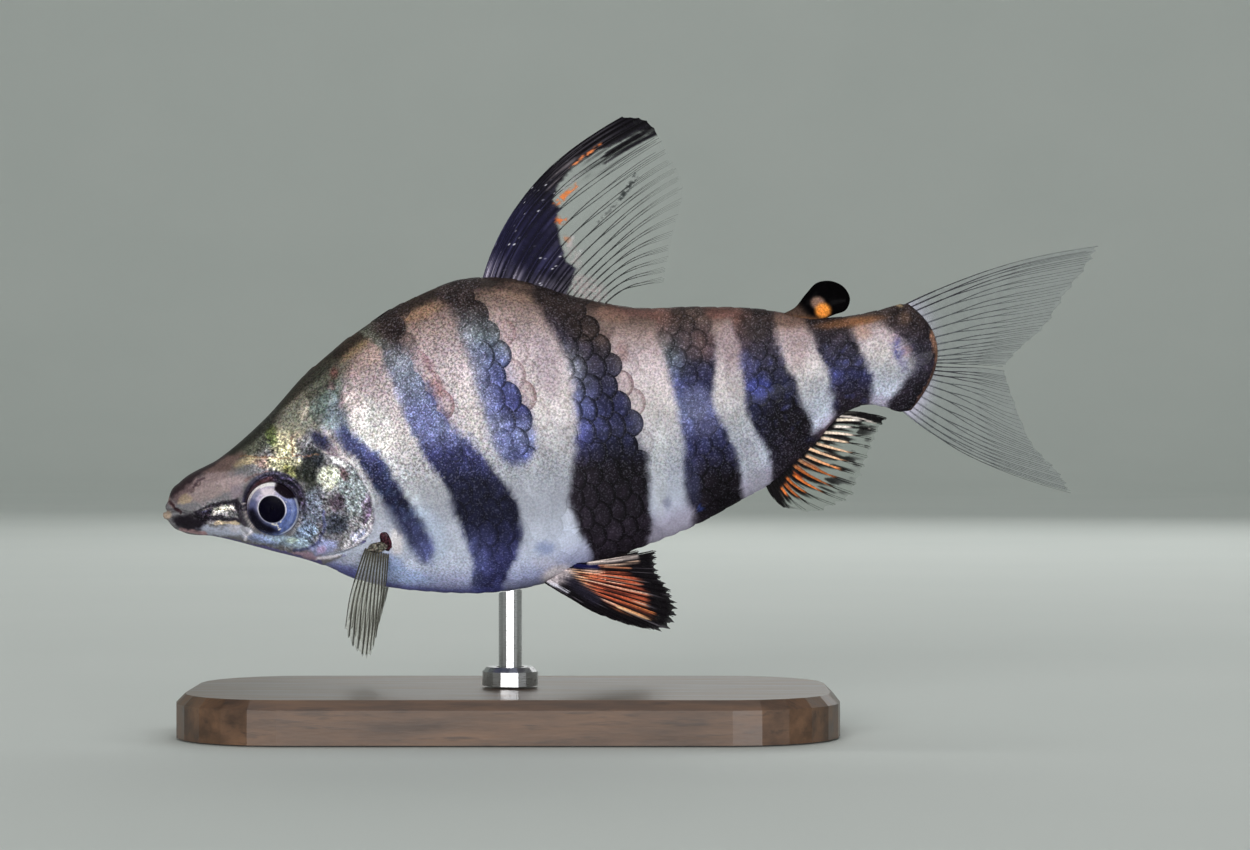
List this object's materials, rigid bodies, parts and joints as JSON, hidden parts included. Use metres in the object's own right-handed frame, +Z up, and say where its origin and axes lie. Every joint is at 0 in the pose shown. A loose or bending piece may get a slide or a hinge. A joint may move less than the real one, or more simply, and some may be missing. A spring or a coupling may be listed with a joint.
{
  "type": "marbled headstander fish model",
  "caption": "Life-size still model of a deep-bodied striped freshwater fish swimming head down, with rayed fins, held over a flat base by a short rod.",
  "frame": {"origin": "middle of the underside of the stand's base", "axes": "+X from the fish's head to its tail, +Y to the fish's right, +Z up; the fish's body axis points head down by 11.7 degrees"},
  "size_m": [0.1207, 0.044, 0.0792],
  "materials": {
    "head_skin": "wet silvery skin, lavender on the snout and olive gold over the eye",
    "barred_skin": "wet scaled skin with indigo marks",
    "gill_cover": "pearly silver with dark blotches",
    "eye": "glossy, black pupil in a silver iris",
    "silver_skin": "silver scales with slanting indigo bars",
    "dark_fin": "black membrane and rays, clear towards the rear, some rays orange",
    "orange_fin": "orange and black rays",
    "clear_fin": "clear membrane with fine grey rays",
    "wood": "dark stained, satin",
    "steel": "satin"
  },
  "bodies": {
    "root": {"head": "head_skin", "lower_jaw": "barred_skin", "gill_cover_left": "gill_cover", "gill_cover_right": "gill_cover", "eye_left": "eye", "eye_right": "eye", "trunk": "silver_skin", "tail_stalk": "barred_skin", "dorsal_fin": "dark_fin", "adipose_fin": "dark_fin", "anal_fin": "orange_fin", "tail_fin_upper": "clear_fin", "tail_fin_lower": "clear_fin", "pectoral_fin_left": "clear_fin", "pectoral_fin_right": "clear_fin", "pelvic_fin_left": "orange_fin", "pelvic_fin_right": "orange_fin", "stand_base": "wood", "stand_rod": "steel", "stand_collar": "steel"}
  },
  "joints": []
}
